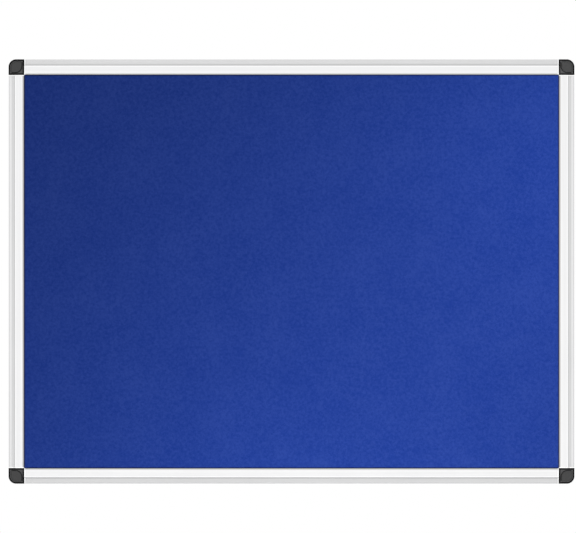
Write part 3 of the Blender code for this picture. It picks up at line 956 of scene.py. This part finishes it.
def pocket_outline(i):
    """One pocket of the leg to the right, with small radii in its corners."""
    pitch = (LEG_LENGTH - LEG_RIB) / POCKETS
    left = HALF + LEG_RIB + pitch * i
    right = left + pitch - LEG_RIB
    half = LEG_HALF - LEG_RIM
    corners = ((left, -half), (right, -half), (right, half), (left, half))
    return [(x, LEG_MIDDLE + across, LEG_BARB) for x, across in corners]


def both_legs(outlines):
    """Outlines of the leg to the right, and the same mirrored in the block's diagonal."""
    return outlines + [[(-z, -x, radius) for x, z, radius in outline] for outline in outlines]


outlines = both_legs([leg_outline()])
legs = [helper_object("leg", slab(outline, -LEG_FACE, LEG_FACE)) for outline in outlines]
for outline in both_legs([pocket_outline(i) for i in range(POCKETS)]):
    for side in (-1, 1):
        low, high = sorted((side * LEG_WEB / 2, side * (LEG_FACE + CUT_SPARE)))
        cutters.append(helper_object("leg pocket", slab(outline, low, high)))
print("legs:", len(legs), "cutters so far:", len(cutters))

# %% [markdown]
# The panel's clipped corner needs room inside the block. One more cutter clears it, and then the
# Booleans run once. The result is turned to the four corners of the board, because all four
# mouldings come out of the same mould. Inside the rim, the field and the walls of the recess take
# the eroded grey, apart from the walls that look towards the board's outer corner. Those are the
# dark arc beside the small triangle, a darker black that paints shade on them. The rest stays
# polished.

# %% Corner mouldings
CHANNEL_FACE = 5.1 * MM
PANEL_CLIP = 9.0 * MM
PANEL_PLAY = 1.0 * MM
FIELD_MARGIN = 0.02 * MM
SLOPE_SHARE = 0.25
POLISHED, ERODED, PAINTED_WALL_SHADE = range(3)

edge = WEB_IN - HALF
clip = PANEL_CLIP + (2 - math.sqrt(2)) * PANEL_PLAY
reach = HALF + CUT_SPARE
panel_room = [
    (edge, -reach, 0),
    (reach, -reach, 0),
    (reach, -edge, 0),
    (edge + clip, -edge, 0),
    (edge, -edge - clip, 0),
]
cutters.append(helper_object("panel room", slab(panel_room, -CHANNEL_FACE, CHANNEL_FACE)))
corner_mesh = carve(helper_object("block", block), legs, cutters)
field_half = HALF - 2 * RIM_ROUNDING
for polygon in corner_mesh.polygons:
    x, y, z = (abs(along) for along in polygon.center)
    in_field = max(x, z) < field_half and POCKET_FLOOR < y < CORNER_FACE - FIELD_MARGIN
    # walls that look towards the outer corner get the black that paints shade on them
    looks_out = polygon.normal.z - polygon.normal.x > SLOPE_SHARE
    polygon.material_index = (PAINTED_WALL_SHADE if looks_out else ERODED) if in_field else POLISHED

corner_finishes = [plastics[name] for name in ("polished black", "spark-eroded grey", "shade-painted black")]
away_x, away_z = BOARD_WIDTH / 2 - HALF, BOARD_HEIGHT / 2 - HALF
corner_places = ((-away_x, away_z), (away_x, away_z), (away_x, -away_z), (-away_x, -away_z))
for turn, (corner, (x, z)) in enumerate(zip(CORNERS, corner_places)):
    mesh = corner_mesh.copy()
    mesh.transform(Matrix.Translation((x, 0, z)) @ Matrix.Rotation(QUARTER * turn, 4, "Y"))
    name, node = "corner_block_" + corner, "corner_moulding_" + corner
    hard_piece(name, mesh, corner_finishes, "board", node)
    report(name, mesh)

# %% [markdown]
# The cover is a leaf-shaped plate with a slightly dished face, so its middle looks a shade darker
# than its edge. The dish is made of rings: the face is extruded in place, scaled towards its centre
# and pushed back, again and again. Under the plate stands a turned snap ring, which four slots
# split so that it can spring into the groove of the well. It is split before it joins the plate,
# because a slot that ended exactly on the plate's underside would leave slivers there.

# %% Corner cover
COVER_EDGE = 0.2 * MM
COVER_EDGE_STEPS = 3
COVER_SPREAD = 0.15 * MM
DISH_DEPTH = 0.22 * MM
DISH_SHARES = (0.97, 0.90, 0.78, 0.63, 0.47, 0.30, 0.14)
RING_OUTER = 4.1 * MM
RING_INNER = 3.3 * MM
RING_BEAD = 0.2 * MM
RING_ROOT = 0.4 * MM
SLOT_WIDTH = 1.1 * MM


def cover_plate():
    """The plate of a front cover, upper left, with its face towards -Y."""
    shape = slab(leaf(COVER_SPREAD), -COVER_FACE, -COVER_UNDER)
    round_rims(shape, COVER_EDGE, COVER_EDGE_STEPS)
    front = [f for f in shape.faces if f.normal.y < -FLAT_FACING and f.calc_area() > COVER_HALF**2]
    before = 1.0
    for share in DISH_SHARES:
        pulled = bmesh.ops.extrude_face_region(shape, geom=front)["geom"]
        bmesh.ops.delete(shape, geom=front, context="FACES_ONLY")
        verts = only(bmesh.types.BMVert, pulled)
        front = only(bmesh.types.BMFace, pulled)
        bmesh.ops.scale(shape, verts=verts, vec=(share / before, 1, share / before))
        bmesh.ops.translate(shape, verts=verts, vec=(0, DISH_DEPTH * (before**2 - share**2), 0))
        before = share
    bmesh.ops.recalc_face_normals(shape, faces=shape.faces)
    return helper_object("plate", shape)


bead = RING_END + RING_BEAD_HEIGHT
ring_profile = [
    (RING_INNER, -COVER_UNDER - RING_ROOT),
    (RING_OUTER, -COVER_UNDER - RING_ROOT),
    (RING_OUTER, -bead),
    (RING_OUTER + RING_BEAD, -bead + RING_BEAD),
    (RING_OUTER, -RING_END),
    (RING_INNER, -RING_END),
]
wide, narrow = RING_OUTER + CUT_SPARE, SLOT_WIDTH / 2
slots = [
    helper_object("slot", slab([(-x, -z, 0), (x, -z, 0), (x, z, 0), (-x, z, 0)], -COVER_FACE, 0))
    for x, z in ((wide, narrow), (narrow, wide))
]
ring = turned("ring", ring_profile, closed=True)
split_ring = add_object("split ring", carve(ring, [], slots))
cover_mesh = carve(cover_plate(), [split_ring], [])
report("cover", cover_mesh)

# %% [markdown]
# Eight covers come from that one mesh. The back ones are turned over about the upright axis, which
# takes the upper left cover to the upper right, so each of them turns on from there. Every cover
# rides on its own body, because it pulls straight out of its corner to reach the wall screw.

# %% Covers in place
for turn, (corner, (x, z)) in enumerate(zip(CORNERS, corner_places)):
    for side, quarters, over in (("front", turn, 0), ("back", turn - 1, math.pi)):
        mesh = cover_mesh.copy()
        turned_over = Matrix.Rotation(QUARTER * quarters, 4, "Y") @ Matrix.Rotation(over, 4, "Z")
        mesh.transform(Matrix.Translation((x, 0, z)) @ turned_over)
        node = f"{side}_cover_{corner}"
        finish = [plastics["grey cover"]]
        hard_piece(f"{side}_cap_{corner}", mesh, finish, node, node)
print("covers:", 2 * len(CORNERS))

# %% [markdown]
# Felt is stretched flat over the core and its edge disappears under the lips of the rails, which
# pinch it. It is modelled as a fine grid, so that it can rise out of the pinch in a soft roll and
# undulate by a few hundredths of a millimetre, as glued cloth does. Extra cuts beside the lips give
# the roll its points, four more cuts clip the corners, and the rim is extruded back to the core.

# %% Felt sheets
FELT_WIDTH = BOARD_WIDTH - 2 * (WEB_IN + PANEL_PLAY)
FELT_HEIGHT = BOARD_HEIGHT - 2 * (WEB_IN + PANEL_PLAY)
FELT_BACK = 3.6 * MM
FELT_PINCHED_FACE = 4.8 * MM
FELT_FIELD_FACE = 5.2 * MM
ROLL_WIDTH = 1.7 * MM
ROLL_CUTS = (0.0, 0.12, 0.3, 0.55, 0.9, 1.3, 1.7)
CELL = 2.6 * MM
WAVE_HEIGHT = 0.05 * MM
WAVE_LENGTH = 30 * MM
FUZZ_HEIGHT = 0.018 * MM
FUZZ_LENGTH = 4 * MM
BLUE_SEED = 11.3
GREY_SEED = 18.4
FELT_SHARP_ANGLE = math.radians(60)


def cut(shape, place, normal, clear=False):
    """Cuts a loop with a plane, and clears what lies beyond it if asked."""
    everything = shape.verts[:] + shape.edges[:] + shape.faces[:]
    bmesh.ops.bisect_plane(shape, geom=everything, plane_co=place, plane_no=normal, clear_outer=clear)


def felt_shape(seed):
    """A felt sheet of the front side."""
    shape = bmesh.new()
    columns, rows = round(FELT_WIDTH / CELL), round(FELT_HEIGHT / CELL)
    upright = Matrix.Rotation(QUARTER, 3, "X")
    bmesh.ops.create_grid(shape, x_segments=columns, y_segments=rows, size=0.5)
    bmesh.ops.scale(shape, verts=shape.verts, vec=(FELT_WIDTH, FELT_HEIGHT, 1))
    bmesh.ops.rotate(shape, verts=shape.verts, cent=ORIGIN, matrix=upright)
    for offset in ROLL_CUTS:
        for side in (-1, 1):
            cut(shape, (side * (LIP_X - offset * MM), 0, 0), (1, 0, 0))
            cut(shape, (0, 0, side * (LIP_Z - offset * MM)), (0, 0, 1))
    for x in (-1, 1):
        for z in (-1, 1):
            corner = (x * (FELT_WIDTH / 2 - PANEL_CLIP), 0, z * FELT_HEIGHT / 2)
            cut(shape, corner, (x, 0, z), clear=True)
    for vert in shape.verts:
        inside = min(LIP_X - abs(vert.co.x), LIP_Z - abs(vert.co.z))
        share = min(1.0, max(0.0, inside / ROLL_WIDTH))
        rise = (FELT_FIELD_FACE - FELT_PINCHED_FACE) * math.sqrt(1 - (1 - share) ** 2)
        wave = WAVE_HEIGHT * noise.noise(vert.co / WAVE_LENGTH + Vector((0, seed, 0)))
        fuzz = FUZZ_HEIGHT * noise.noise(vert.co / FUZZ_LENGTH + Vector((seed, 0, 0)))
        vert.co.y = -FELT_PINCHED_FACE - rise - share * (wave + fuzz)
    rim = [e for e in shape.edges if e.is_boundary]
    pulled = bmesh.ops.extrude_edge_only(shape, edges=rim)["geom"]
    for vert in only(bmesh.types.BMVert, pulled):
        vert.co.y = -FELT_BACK
    back_rim = [e for e in only(bmesh.types.BMEdge, pulled) if e.is_boundary]
    bmesh.ops.contextual_create(shape, geom=back_rim)
    bmesh.ops.recalc_face_normals(shape, faces=shape.faces)
    return shape


cloths = (("blue_felt", 0, blue_cloth, BLUE_SEED), ("grey_felt", math.pi, grey_cloth, GREY_SEED))
for node, over, cloth, seed in cloths:
    sheet = helper_object(node + "_sheet", felt_shape(seed))
    sheet.data.transform(Matrix.Rotation(over, 4, "Z"))
    sheet.data.materials.append(cloth)
    sheet.data.shade_smooth()
    sheet.data.set_sharp_from_angle(angle=FELT_SHARP_ANGLE)
    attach(sheet, "board")
    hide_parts(node)
    report(sheet.name, sheet.data)

# %% Finish
low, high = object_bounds()
print("visual model, mm:", in_mm(high - low))
